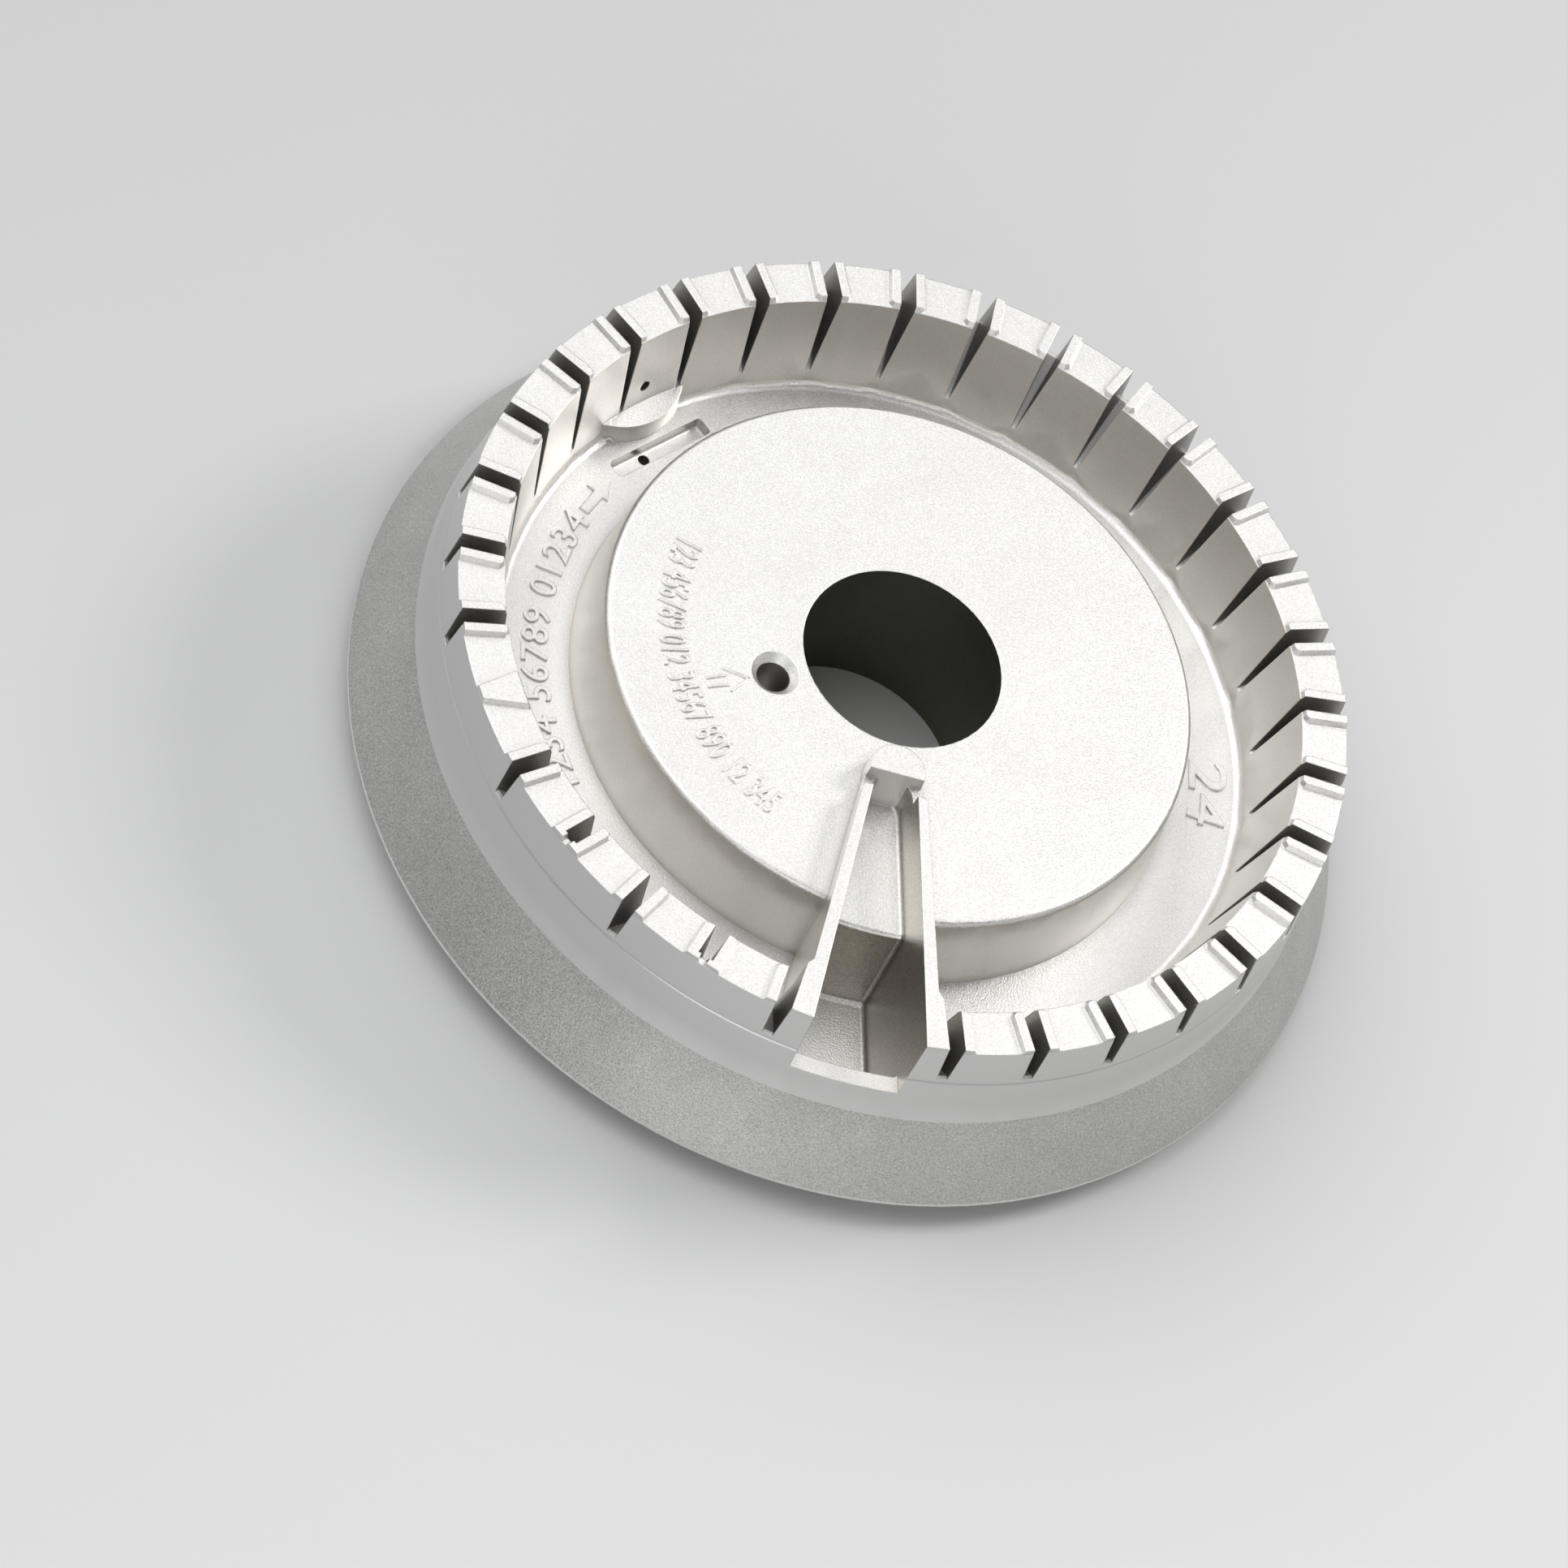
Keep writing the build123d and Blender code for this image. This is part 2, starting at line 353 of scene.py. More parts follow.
BRIGHT = (0.893, 0.87, 0.846)
FINISHES = {
    finish.zone: finish
    for finish in (
        Finish(
            Zone.BLASTED, BRIGHT, roughness=0.40, swing=0.10,
            mottle=0.16, grain=0.20, relief=0.045, crease_shade=0.45,
        ),
        Finish(
            Zone.SKIRT, (0.535, 0.538, 0.515), roughness=0.42, swing=0.12,
            mottle=0.36, grain=0.20, relief=0.06, crease_shade=0.1,
        ),
        Finish(
            Zone.BAND, (0.645, 0.645, 0.637), roughness=0.34, swing=0.03,
            mottle=0.01, grain=0.12, relief=0.004, turning=0.16, crease_shade=0.2,
        ),
        # Ground pads and sill, and the rim's lip as a painted highlight.
        Finish(
            Zone.PADS, BRIGHT, roughness=0.42, swing=0.08,
            mottle=0.15, grain=0.20, relief=0.03, crease_shade=0.2,
        ),
        # Steep walls: a darker copy of the metal, as painted shade.
        Finish(
            Zone.WALLS, (0.728, 0.712, 0.680), roughness=0.34, swing=0.06,
            mottle=0.06, grain=0.24, relief=0.02, crease_shade=0.4,
        ),
        # Bore and small hole: the metal painted dark, as painted shade.
        Finish(
            Zone.THROAT, (0.17, 0.172, 0.145), roughness=0.50, swing=0.06,
            mottle=0.05, grain=0.25, relief=0.02,
        ),
        Finish(
            Zone.UNDER, (0.66, 0.65, 0.63), roughness=0.50, swing=0.08,
            mottle=0.10, grain=0.30, relief=0.05,
        ),
        # Slot sides: a darker copy of the metal, as painted shade.
        Finish(
            Zone.SLOTS, (0.46, 0.45, 0.42), roughness=0.44, swing=0.06,
            mottle=0.06, grain=0.24, relief=0.02, crease_shade=0.4,
        ),
        # Pocket floors: a paler copy of the metal, as painted light.
        Finish(
            Zone.POCKET, (0.98, 0.96, 0.935), roughness=0.36, swing=0.08,
            mottle=0.26, grain=0.22, relief=0.06, crease_shade=0.3,
        ),
        # Pocket walls: a darker copy of the metal, as painted shade.
        Finish(
            Zone.POCKET_WALLS, (0.59, 0.563, 0.51), roughness=0.34, swing=0.06,
            mottle=0.3, grain=0.22, relief=0.03, crease_shade=0.5,
        ),
        # Channel floor: a paler copy of the metal, as painted light.
        Finish(
            Zone.CHANNEL, (0.965, 0.942, 0.917), roughness=0.37, swing=0.08,
            mottle=0.14, grain=0.20, relief=0.045, crease_shade=0.3,
        ),
    )
}


@dataclass(frozen=True)
class SkinMap:
    """Limits by which each face of the casting gets its finish, painted shade and painted light
    included.

    The shares of a face's direction are cosines: 1 is straight up, outward or sideways.

    Args:
        level: Upward share from which a face is a ground flat.
        facing: Share from which a face looks up, down or outward.
        steep: Upward share below which a face is a wall.
        inward: Inward share from which a face lines the throat.
        sideways: Sideways share from which a face is a side of a slot.
        seat: Height of the port ring's flat top.
        seat_slack: How far below the seat its faces may lie.
        sill: Height of the sill in the pocket's mouth.
        sill_slack: How far from it the sill's face may lie.
        throat_reach: Radius that holds all of the throat's bore.
        channel_reach: Smallest and largest radius of the channel's floor.
        channel_top: Height that the channel's floor stays below.
        band_inner: Radius inside the outer band's face.
        band_low: Height of the skirt's foot.
        highlight_lip: Height below which the rim's rounded lip lies; its faces get the pale pad
            finish as a painted highlight.
        skirt_inside: Radius outside which the inside of the skirt lies.
        skirt_under: Height below which it lies.
        pocket_reach: Distance from the axis at which the pocket's width is given, inner and outer.
        pocket_half: Half width at those two, a little outside the pocket's faces.
        pocket_mouth: Radius at which the lining of the pocket ends.
        pocket_heights: Lowest and highest place of the lining.
        pocket_clear: Half width round the pocket that holds no slot.
        slot_reach: Smallest and largest radius of the slots' sides.
        slot_root: Lowest place of the slots.
        bleed_start: Distance from the axis outside which the hole in the ring's wall lies.
        bleed_height: Height of that hole.
        bleed_reach: Radius that holds all of it.
    """

    level: float = 0.9
    facing: float = 0.5
    steep: float = 0.35
    inward: float = 0.3
    sideways: float = 0.7
    seat: float = 24.25
    seat_slack: float = 0.05
    sill: float = 16.35
    sill_slack: float = 0.15
    throat_reach: float = 13.2
    channel_reach: Pair = (33.0, 45.0)
    channel_top: float = 17.0
    band_inner: float = 49.6
    band_low: float = 12.3
    highlight_lip: float = 3.5
    skirt_inside: float = 43.0
    skirt_under: float = 11.0
    pocket_reach: Pair = (18.0, 50.0)
    pocket_half: Pair = (3.0, 7.0)
    pocket_mouth: float = 49.5
    pocket_heights: Pair = (7.0, PLATEAU_TOP - 1)
    pocket_clear: float = 7.5
    slot_reach: Pair = (44.0, 50.2)
    slot_root: float = 12.5
    bleed_start: float = 43.2
    bleed_height: float = 16.55
    bleed_reach: float = 0.7

    def zone_of(self, centre: Vector, normal: Vector) -> Zone:
        """Find the finish of one face.

        Args:
            centre: Middle of the face in millimetres.
            normal: Its outward direction.

        Returns:
            The zone that the face belongs to.
        """
        radius = centre.xy.length
        outward = centre.xy.dot(normal.xy) / max(radius, 1e-6)
        if normal.z > self.level and self.is_ground(centre):
            return Zone.PADS
        # The bore and the small hole get the dark finish, as painted shade.
        if radius < self.throat_reach and outward < -self.inward or self.in_bleed_hole(centre):
            return Zone.THROAT
        # Slot sides get the darker finish, as painted shade.
        if self.in_slot(centre, normal):
            return Zone.SLOTS
        # Pocket floors get a paler finish as painted light, pocket walls a darker one as painted
        # shade.
        if self.in_pocket(centre):
            return Zone.POCKET if normal.z > self.facing else Zone.POCKET_WALLS
        # The channel's floor gets a paler finish, as painted light.
        in_channel = self.channel_reach[0] < radius < self.channel_reach[1]
        if normal.z > self.facing and centre.z < self.channel_top and in_channel:
            return Zone.CHANNEL
        if radius > self.band_inner and outward > self.facing:
            if centre.z > self.band_low:
                return Zone.BAND
            # The rim's lip gets the pale pad finish, as a painted highlight.
            return Zone.PADS if centre.z < self.highlight_lip else Zone.SKIRT
        in_skirt = centre.z < self.skirt_under and radius > self.skirt_inside
        if normal.z < -self.facing or in_skirt:
            return Zone.UNDER
        # Steep faces get the darker finish, as painted shade.
        if abs(normal.z) < self.steep:
            return Zone.WALLS
        return Zone.BLASTED

    def is_ground(self, centre: Vector) -> bool:
        """Tell whether a level face lies on the port ring's top or on the sill.

        Args:
            centre: Middle of the face in millimetres.

        Returns:
            True if it does.
        """
        on_seat = centre.z > self.seat - self.seat_slack
        return on_seat or abs(centre.z - self.sill) < self.sill_slack

    def in_pocket(self, centre: Vector) -> bool:
        """Tell whether a face lines the ignition pocket.

        Args:
            centre: Middle of the face in millimetres.

        Returns:
            True if it does.
        """
        start, finish = self.pocket_reach
        inner, outer = self.pocket_half
        half_width = inner + (outer - inner) * (-centre.y - start) / (finish - start)
        inside = centre.y < -start and abs(centre.x) < half_width
        low, high = self.pocket_heights
        return inside and centre.xy.length < self.pocket_mouth and low < centre.z < high

    def in_slot(self, centre: Vector, normal: Vector) -> bool:
        """Tell whether a face is a side of one of the port slots.

        Args:
            centre: Middle of the face in millimetres.
            normal: Its outward direction.

        Returns:
            True if it is.
        """
        radius = centre.xy.length
        across = abs(centre.x * normal.y - centre.y * normal.x) / max(radius, 1e-6)
        beside_pocket = abs(centre.x) < self.pocket_clear and centre.y < 0
        in_ring = self.slot_reach[0] < radius < self.slot_reach[1]
        between = self.slot_root < centre.z < self.seat
        return across > self.sideways and in_ring and between and not beside_pocket

    def in_bleed_hole(self, centre: Vector) -> bool:
        """Tell whether a face lines the small hole through the ring's wall above the boss.

        Args:
            centre: Middle of the face in millimetres.

        Returns:
            True if it does.
        """
        outward = (centre.y - centre.x) / math.sqrt(2)
        off_line = (centre.x + centre.y) / math.sqrt(2)
        off_axis = math.hypot(off_line, centre.z - self.bleed_height)
        return outward > self.bleed_start and off_axis < self.bleed_reach


@dataclass
class Casting:
    """The casting itself, as a smooth-shaded copy of the fixed solid.

    Args:
        node: Name of the node that it stands for.
        weld: Distance within which corners are merged.
        flat_turn: Faces that turn by less than this, in degrees, are joined into one.
        crisp: Edges that turn by more than this, in degrees, stay crisp.
        soft_turn: Edges of the rounded corners stay soft up to this turn, in degrees.
        soft_reach: How far from the middle of its corner a soft edge may lie.
        plateau_edge: Middle radius and height of the plateau's rounded edge.
        channel_edge: Middle radius and height of the channel's rounded corner.
    """

    node: str = "burner_base"
    weld: float = 0.001
    flat_turn: float = 0.4
    crisp: float = 24.0
    soft_turn: float = 60.0
    soft_reach: float = 0.75
    plateau_edge: Pair = (32.7, 21.65)
    channel_edge: Pair = (42.2, 12.05)

    def is_soft(self, edge: bmesh.types.BMEdge) -> bool:
        """Tell whether an edge lies on one of the two rounded corners that run round the part.

        Args:
            edge: Edge of the casting's mesh.

        Returns:
            True if it does.
        """
        middle = (edge.verts[0].co + edge.verts[1].co) / 2 / MM
        for radius, height in (self.plateau_edge, self.channel_edge):
            off_radius = abs(middle.xy.length - radius)
            if off_radius < self.soft_reach and abs(middle.z - height) < self.soft_reach:
                return True
        return False

    def dressed(self) -> bpy.types.Mesh:
        """Copy and weld the solid's mesh and give each face its finish, painted shade and painted
        light included.

        Returns:
            The mesh, with its crisp edges marked.
        """
        mesh = bpy.data.objects[self.node].data.copy()
        mesh.materials.clear()
        zones = list(Zone)
        for zone in zones:
            mesh.materials.append(FINISHES[zone].material())
        skin = SkinMap()
        form = bmesh.new()
        form.from_mesh(mesh)
        bmesh.ops.remove_doubles(form, verts=form.verts, dist=self.weld * MM)
        bmesh.ops.dissolve_limit(
            form,
            angle_limit=math.radians(self.flat_turn),
            use_dissolve_boundaries=False,
            verts=form.verts,
            edges=form.edges,
        )
        form.normal_update()
        for face in form.faces:
            face.smooth = True
            zone = skin.zone_of(face.calc_center_median() / MM, face.normal)
            face.material_index = zones.index(zone)
        for edge in form.edges:
            turn = math.degrees(edge.calc_face_angle(0.0))
            edge.smooth = turn < self.crisp or (turn < self.soft_turn and self.is_soft(edge))
        form.to_mesh(mesh)
        form.free()
        if "custom_normal" in mesh.attributes:
            mesh.attributes.remove(mesh.attributes["custom_normal"])
        return mesh

    def build(self) -> bpy.types.Object:
        """Dress the solid and shade it by the size of its faces.

        Returns:
            The finished piece.
        """
        piece = put("casting", self.dressed())
        weighted = piece.modifiers.new("weighted", "WEIGHTED_NORMAL")
        weighted.mode = "FACE_AREA"
        weighted.weight = 100
        weighted.keep_sharp = True
        finished = bake(piece)
        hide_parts(self.node)
        LOG.info("casting: %d faces", len(finished.data.polygons))
        return finished


class Bend:
    """Geometry Nodes tree that wraps flat raised marks round the casting's axis."""

    name = "wrap_round_axis"
    inputs = {
        "Geometry": "NodeSocketGeometry",
        "Radius": "NodeSocketFloat",
        "Start": "NodeSocketFloat",
        "Turn": "NodeSocketFloat",
        "Finish": "NodeSocketMaterial",
    }

    def tree(self) -> Tree:
        """Build the tree, or hand back the one that exists.

        Returns:
            Tree that turns x into a way along an arc and y into a way across it.
        """
        known = bpy.data.node_groups.get(self.name)
        if known:
            return known
        tree = bpy.data.node_groups.new(self.name, "GeometryNodeTree")
        face = tree.interface
        for label, kind in self.inputs.items():
            face.new_socket(label, in_out="INPUT", socket_type=kind)
        face.new_socket("Geometry", in_out="OUTPUT", socket_type="NodeSocketGeometry")
        entry = tree.nodes.new("NodeGroupInput")
        leave = tree.nodes.new("NodeGroupOutput")
        place = tree.nodes.new("GeometryNodeInputPosition")
        split = tree.nodes.new("ShaderNodeSeparateXYZ")
        tree.links.new(place.outputs["Position"], split.inputs["Vector"])
        turn = entry.outputs["Turn"]
        radius = entry.outputs["Radius"]
        way = maths(tree, "DIVIDE", split.outputs["X"], radius)
        angle = maths(tree, "MULTIPLY_ADD", way, turn, entry.outputs["Start"])
        across = maths(tree, "MULTIPLY", split.outputs["Y"], turn)
        reach = maths(tree, "SUBTRACT", radius, across)
        joined = tree.nodes.new("ShaderNodeCombineXYZ")
        for axis, share in (("X", "COSINE"), ("Y", "SINE")):
            length = maths(tree, "MULTIPLY", reach, maths(tree, share, angle))
            tree.links.new(length, joined.inputs[axis])
        tree.links.new(split.outputs["Z"], joined.inputs["Z"])
        move = tree.nodes.new("GeometryNodeSetPosition")
        tree.links.new(entry.outputs["Geometry"], move.inputs["Geometry"])
        tree.links.new(joined.outputs["Vector"], move.inputs["Position"])
        real = tree.nodes.new("GeometryNodeRealizeInstances")
        tree.links.new(move.outputs["Geometry"], real.inputs["Geometry"])
        paint = tree.nodes.new("GeometryNodeSetMaterial")
        tree.links.new(real.outputs["Geometry"], paint.inputs["Geometry"])
        tree.links.new(entry.outputs["Finish"], paint.inputs["Material"])
        tree.links.new(paint.outputs["Geometry"], leave.inputs["Geometry"])
        return tree

    def apply(
        self, piece: bpy.types.Object, radius: float, start: float, turn: int
    ) -> bpy.types.Object:
        """Wrap a flat piece.

        Args:
            piece: Flat object with x along the arc and y across it.
            radius: Radius of its base line.
            start: Angle where the base line starts, in degrees.
            turn: 1 for anticlockwise with tops toward the axis, -1 for clockwise with tops outward.

        Returns:
            The plain wrapped object.
        """
        modifier = piece.modifiers.new("bend", "NODES")
        modifier.node_group = self.tree()
        values = {
            "Radius": radius * MM,
            "Start": math.radians(start),
            "Turn": float(turn),
            "Finish": FINISHES[Zone.BLASTED].material(),
        }
        for item in modifier.node_group.interface.items_tree:
            if item.in_out == "INPUT" and item.name in values:
                modifier[item.identifier] = values[item.name]
        return bake(piece)


@dataclass
class RaisedNumbers:
    """A row of plain digits, cast proud of a floor and wrapped along an arc.

    Args:
        name: Name of the piece.
        digits: The digits, with blanks between the groups.
        radius: Radius of the base line.
        start: Angle at which the row starts, in degrees.
        finish: Angle at which it ends.
        height: Height of the digits across the arc.
        floor: Height of the floor that carries them.
        relief: How far they stand proud.
        edge: Width of their sloped edges.
        weight: How much thicker the strokes are drawn.
        spacing: How wide each digit's place is, as a share of the plain one.
        curve_steps: How many pieces each curve of a digit is drawn in.
        thickness: Half thickness of the drawn digits, as a share of their size.
        crisp: Edges that turn by more than this, in degrees, stay crisp.
    """

    name: str
    digits: str
    radius: float
    start: float
    finish: float
    height: float
    floor: float
    relief: float = 0.26
    edge: float = 0.10
    weight: float = 0.06
    spacing: float = 1.06
    curve_steps: int = 5
    thickness: float = 0.05
    crisp: float = 40.0

    def mesh_of(self, drawn: bpy.types.Object) -> bpy.types.Mesh:
        """Turn the row into a mesh as it is drawn now.

        Args:
            drawn: Object with the letters.

        Returns:
            The mesh.
        """
        graph = bpy.context.evaluated_depsgraph_get()
        graph.update()
        return bpy.data.meshes.new_from_object(drawn.evaluated_get(graph))

    def flat(self) -> bpy.types.Object:
        """Draw the row flat, from x = 0 to the arc's length.

        Returns:
            Flat object whose tops stand proud of the floor.
        """
        font = bpy.data.curves.new(self.name, "FONT")
        font.body = self.digits
        font.size = 1.0
        font.space_character = self.spacing
        font.resolution_u = self.curve_steps
        font.extrude = self.thickness
        drawn = put(self.name, font)
        mesh = self.mesh_of(drawn)
        lows = [min(v.co[k] for v in mesh.vertices) for k in range(2)]
        highs = [max(v.co[k] for v in mesh.vertices) for k in range(2)]
        bpy.data.meshes.remove(mesh)
        length = self.radius * math.radians(abs(self.finish - self.start))
        stretch = (length / (highs[0] - lows[0]), self.height / (highs[1] - lows[1]))
        font.bevel_depth = self.edge / stretch[1]
        font.bevel_resolution = 1
        font.offset = (self.weight - self.edge) / stretch[1]
        mesh = self.mesh_of(drawn)
        bpy.data.objects.remove(drawn)
        top = max(v.co.z for v in mesh.vertices)
        for vertex in mesh.vertices:
            x, y, z = vertex.co
            x, y = (x - lows[0]) * stretch[0], (y - lows[1]) * stretch[1]
            vertex.co = Vector((x, y, self.floor + z / top * self.relief)) * MM
        return put(self.name, mesh)

    def build(self) -> bpy.types.Object:
        """Draw the row, wrap it and shade it.

        Returns:
            The finished piece.
        """
        turn = 1 if self.finish > self.start else -1
        return shade(Bend().apply(self.flat(), self.radius, self.start, turn), self.crisp)


@dataclass
class RaisedShape:
    """A flat-topped raised outline on a floor, with sloped edges.

    Args:
        name: Name of the piece.
        outline: Corner points, anticlockwise.
        floor: Height of the floor that carries it.
        relief: How far it stands proud.
        edge: Width of its sloped edge.
        sink: How deep its foot reaches into the floor.
        crisp: Edges that turn by more than this, in degrees, stay crisp.
    """

    name: str
    outline: tuple[Pair, ...]
    floor: float
    relief: float = 0.24
    edge: float = 0.12
    sink: float = 0.2
    crisp: float = 35.0

    def flat(self) -> bpy.types.Object:
        """Extrude the outline and slope its top edge.

        Returns:
            The closed shape.
        """
        form = bmesh.new()
        foot = self.floor - self.sink
        base = [form.verts.new(Vector((x, y, foot)) * MM) for x, y in self.outline]
        raised = bmesh.ops.extrude_face_region(form, geom=[form.faces.new(base)])
        tops = [item for item in raised["geom"] if isinstance(item, bmesh.types.BMVert)]
        bmesh.ops.translate(form, verts=tops, vec=(0, 0, (self.relief + self.sink) * MM))
        rim = [edge for edge in form.edges if all(vert in tops for vert in edge.verts)]
        bmesh.ops.bevel(
            form, geom=rim, offset=self.edge * MM, segments=2, affect="EDGES", profile=0.5
        )
        bmesh.ops.recalc_face_normals(form, faces=form.faces)
        mesh = bpy.data.meshes.new(self.name)
        form.to_mesh(mesh)
        form.free()
        return put(self.name, mesh)

    def wrapped(self, radius: float, start: float, turn: int) -> bpy.types.Object:
        """Build the shape and wrap it round the axis.

        Args:
            radius: Radius of the base line.
            start: Angle of its start in degrees.
            turn: 1 for anticlockwise, -1 for clockwise.

        Returns:
            The finished piece.
        """
        return shade(Bend().apply(self.flat(), radius, start, turn), self.crisp)

    def build(self) -> bpy.types.Object:
        """Build the shape where its points say.

        Returns:
            The finished piece.
        """
        piece = bake(self.flat())
        piece.data.materials.append(FINISHES[Zone.BLASTED].material())
        return shade(piece, self.crisp)


@dataclass
class CastMarks:
    """All the raised marks of the casting: three rows of digits and two arrows.

    Args:
        arrow: Outline of the block arrow on the channel's floor.
        arrow_radius: Radius of its base line.
        arrow_start: Angle of its start in degrees.
        strokes: Ends of the four strokes of the arrow on the plateau.
        stroke_width: Width of those strokes.
        stroke_relief: How far they stand proud.
        stroke_edge: Width of their sloped edges.
    """

    arrow: tuple[Pair, ...] = (
        (0.0, 0.75), (2.9, 0.75), (2.9, 0.1), (5.3, 1.55), (2.9, 3.0), (2.9, 2.05), (0.0, 2.05),
    )
    arrow_radius: float = 36.5
    arrow_start: float = 155.6
    strokes: tuple[tuple[Pair, Pair], ...] = (
        ((-16.59, -7.95), (-19.40, -7.49)),
        ((-16.59, -7.95), (-18.18, -10.06)),
        ((-19.26, -8.39), (-21.07, -9.29)),
        ((-18.79, -9.48), (-20.76, -10.35)),
    )
    stroke_width: float = 0.34
    stroke_relief: float = 0.18
    stroke_edge: float = 0.10

    def rows(self) -> list[RaisedNumbers]:
        """Lay out the rows of digits.

        Returns:
            The two rows along the arcs and the short mark on the right.
        """
        return [
            RaisedNumbers(
                "channel_numbers", "1234 56789 01234",
                radius=36.5, start=212.0, finish=156.8, height=3.0, floor=CHANNEL_FLOOR,
            ),
            RaisedNumbers(
                "plateau_numbers", "123 456789 012 34567 890 12 345",
                radius=27.4, start=163.5, finish=242.5, height=3.1, floor=PLATEAU_TOP, relief=0.2,
            ),
            RaisedNumbers(
                "channel_mark", "24",
                radius=36.6, start=7.2, finish=-5.0, height=4.3, floor=CHANNEL_FLOOR,
                relief=0.28, edge=0.13, weight=0.09,
            ),
        ]

    def bar(self, start: Pair, finish: Pair) -> tuple[Pair, ...]:
        """Outline a straight stroke between two points.

        Args:
            start: One end of the middle line.
            finish: Its other end.

        Returns:
            Four corner points.
        """
        one, two = Vector(start), Vector(finish)
        ahead = (two - one).normalized() * self.stroke_width / 2
        side = Vector((-ahead.y, ahead.x))
        corners = (one - ahead - side, two + ahead - side, two + ahead + side, one - ahead + side)
        return tuple((corner.x, corner.y) for corner in corners)

    def build(self) -> list[bpy.types.Object]:
        """Build every mark.

        Returns:
            The finished pieces.
        """
        pieces = [row.build() for row in self.rows()]
        arrow = RaisedShape("channel_arrow", self.arrow, CHANNEL_FLOOR)
        pieces.append(arrow.wrapped(self.arrow_radius, self.arrow_start, -1))
        for count, (start, finish) in enumerate(self.strokes, 1):
            shape = RaisedShape(
                f"plateau_arrow_{count}", self.bar(start, finish), PLATEAU_TOP,
                relief=self.stroke_relief, edge=self.stroke_edge,
            )
            pieces.append(shape.build())
        return pieces


@dataclass(frozen=True)
class Lamp:
    """A square soft lamp that looks at the object.

    Args:
        name: Name of the lamp.
        place: Where it stands, in metres.
        size: Length of its side in metres.
        power: Power in watts.
        colour: Linear colour.
    """

    name: str
    place: Triple
    size: float
    power: float
    colour: Triple

    def build(self) -> None:
        """Put the lamp in the scene."""
        data = bpy.data.lights.new(self.name, "AREA")
        data.shape = "SQUARE"
        data.size = self.size
        data.energy = self.power
        data.color = self.colour
        lamp = put(self.name, data)
        lamp.location = self.place
        lamp.rotation_mode = "QUATERNION"
        lamp.rotation_quaternion = (-Vector(self.place)).to_track_quat("-Z", "Y")


@dataclass(frozen=True)
class Glow:
    """A soft bright side of the studio's walls and ceiling.

    Args:
        azimuth: Where its middle stands, in degrees anticlockwise from +X.
        height: How high its middle stands, in degrees above the floor.
        strength: How bright its middle is.
        edge: Cosine of the angle from its middle at which it has faded out.
    """

    azimuth: float
    height: float
    strength: float
    edge: float = 0.5

    def direction(self) -> Vector:
        """Point from the object toward the middle of the glow.

        Returns:
            A direction one unit long.
        """
        rise = math.radians(self.height)
        turn = math.radians(self.azimuth)
        flat = math.cos(rise)
        return Vector((math.cos(turn) * flat, math.sin(turn) * flat, math.sin(rise)))


LAMPS = (
    Lamp("key", (0.95, 0.55, 0.85), size=0.45, power=7.2, colour=(1.0, 0.99, 0.97)),
    Lamp("front_fill", (-0.25, -1.5, 0.75), size=1.1, power=4.8, colour=(0.985, 0.99, 1.0)),
)
GLOWS = (
    Glow(azimuth=125, height=52, strength=1.34),
    Glow(azimuth=180, height=52, strength=0.60),
    Glow(azimuth=340, height=10, strength=0.50),
    Glow(azimuth=270, height=10, strength=0.42),
)


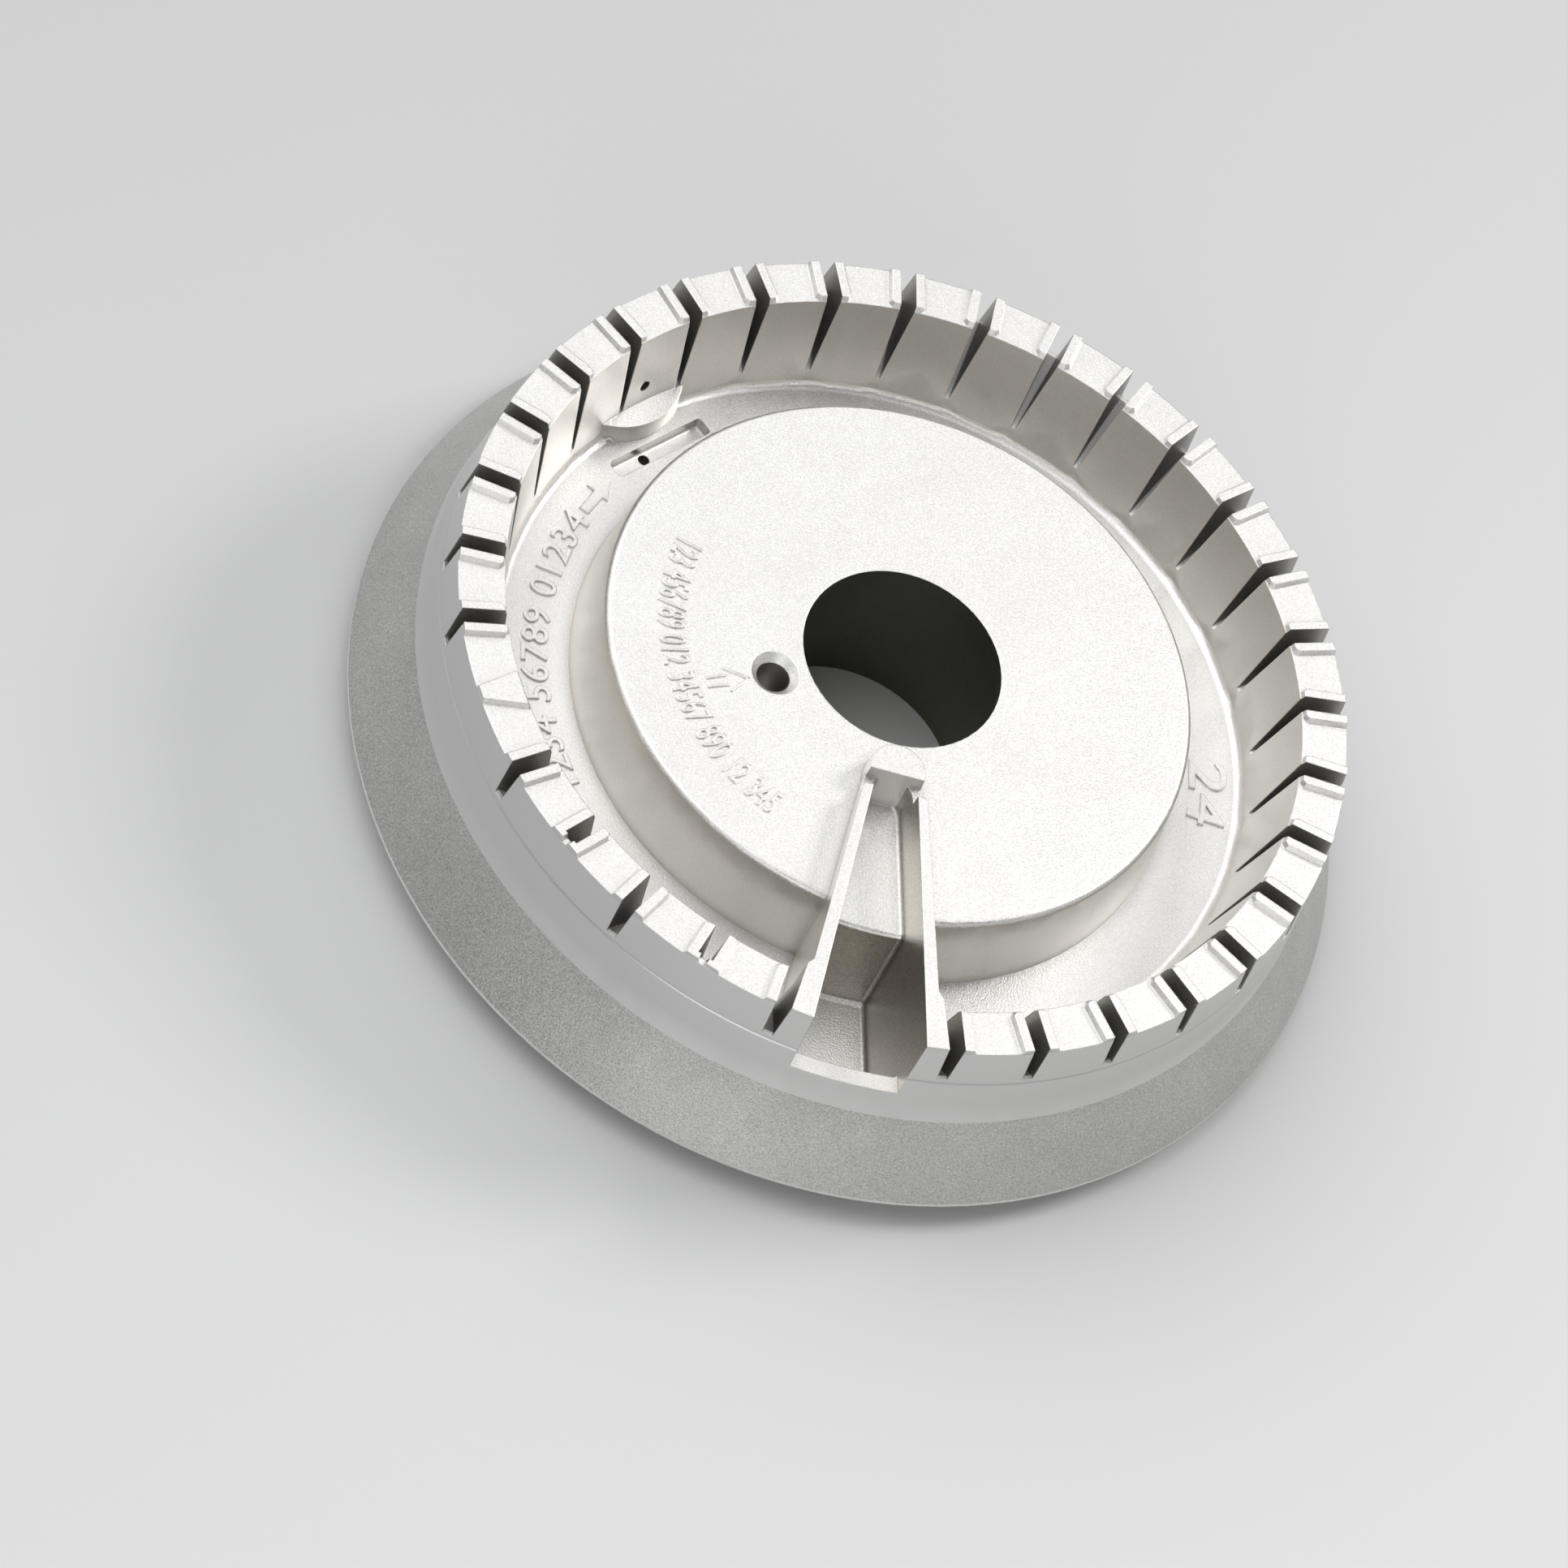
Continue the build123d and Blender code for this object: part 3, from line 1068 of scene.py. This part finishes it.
@dataclass
class Studio:
    """Floor, soft light and camera of the photograph.

    Args:
        floor_painted_light: Linear brightness of the floor behind the object and in front of it,
            painted paler toward the front as painted light.
        painted_light_way: Direction in which the floor's painted light changes.
        painted_light_reach: Distance from the middle at which it has each of its two shades.
        floor_roughness: Roughness of the floor.
        floor_shine: How much the floor mirrors.
        floor_size: Length of its side in metres.
        sky_colour: Linear colour of the glows.
        camera_place: Where the camera stands.
        camera_target: Point that it looks at.
        camera_roll: How far it leans about its own axis, in degrees.
        camera_lens: Focal length.
        camera_frame: Width of the frame that the focal length is given for.
        camera_clip: Nearest and farthest that it sees, in metres.
    """

    floor_painted_light: Pair = (0.60, 0.775)
    painted_light_way: Triple = (0.41, -0.91, 0.0)
    painted_light_reach: float = 160.0
    floor_roughness: float = 0.75
    floor_shine: float = 0.2
    floor_size: float = 6.0
    sky_colour: Triple = (0.985, 0.99, 1.0)
    camera_place: Triple = (-167.778, -458.975, 627.738)
    camera_target: Triple = (-12.010, -21.684, 24.25)
    camera_roll: float = 30.792
    camera_lens: float = 167.303
    camera_frame: float = 36.0
    camera_clip: Pair = (0.01, 20.0)

    def floor(self) -> None:
        """Lay the pale floor, which keeps the object's shadow and is painted paler toward the front
        as painted light.
        """
        mesh = bpy.data.meshes.new("floor")
        half = self.floor_size / 2
        corners = [(-half, -half, 0), (half, -half, 0), (half, half, 0), (-half, half, 0)]
        mesh.from_pydata(corners, [], [(0, 1, 2, 3)])
        made = bpy.data.materials.new("pale_floor")
        made.use_nodes = True
        tree = made.node_tree
        shader = tree.nodes["Principled BSDF"]
        place = tree.nodes.new("ShaderNodeTexCoord").outputs["Object"]
        # Painted light: the floor's colour grows paler toward the front.
        reach = (-self.painted_light_reach * MM, self.painted_light_reach * MM)
        painted_falloff = spread(tree, along(tree, place, self.painted_light_way), reach, self.floor_painted_light)
        tree.links.new(painted_falloff, shader.inputs["Base Color"])
        shader.inputs["Roughness"].default_value = self.floor_roughness
        shader.inputs["Specular IOR Level"].default_value = self.floor_shine
        mesh.materials.append(made)
        floor = put("floor", mesh)

    def surroundings(self) -> None:
        """Light the object from the glows, one added to another."""
        world = bpy.data.worlds.new("studio")
        world.use_nodes = True
        tree = world.node_tree
        back = tree.nodes["Background"]
        back.inputs["Color"].default_value = (*self.sky_colour, 1.0)
        place = tree.nodes.new("ShaderNodeTexCoord").outputs["Generated"]
        total: float | Socket = 0.0
        for glow in GLOWS:
            toward = along(tree, place, glow.direction())
            fade = spread(tree, toward, (glow.edge, 1.0), (0.0, glow.strength), "SMOOTHSTEP")
            total = maths(tree, "ADD", total, fade)
        tree.links.new(total, back.inputs["Strength"])
        bpy.context.scene.world = world

    def camera(self) -> None:
        """Set up the camera that was fitted to the photograph."""
        data = bpy.data.cameras.new("camera")
        data.lens = self.camera_lens
        data.sensor_width = self.camera_frame
        data.clip_start, data.clip_end = self.camera_clip
        camera = put("camera", data)
        place = Vector(self.camera_place) * MM
        target = Vector(self.camera_target) * MM
        level = (target - place).to_track_quat("-Z", "Y")
        camera.rotation_mode = "QUATERNION"
        roll = Quaternion((0, 0, 1), math.radians(self.camera_roll))
        camera.rotation_quaternion = level @ roll
        camera.location = place
        bpy.context.scene.camera = camera

    def build(self) -> None:
        """Set the whole studio up."""
        self.floor()
        self.surroundings()
        for lamp in LAMPS:
            lamp.build()
        self.camera()
        bpy.context.scene.view_settings.view_transform = "Standard"


def main() -> None:
    """Load the frame, build every piece and set up the studio."""
    logging.basicConfig(level=logging.INFO)
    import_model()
    Casting().build()
    CastMarks().build()
    Studio().build()


if __name__ == "__main__":
    main()
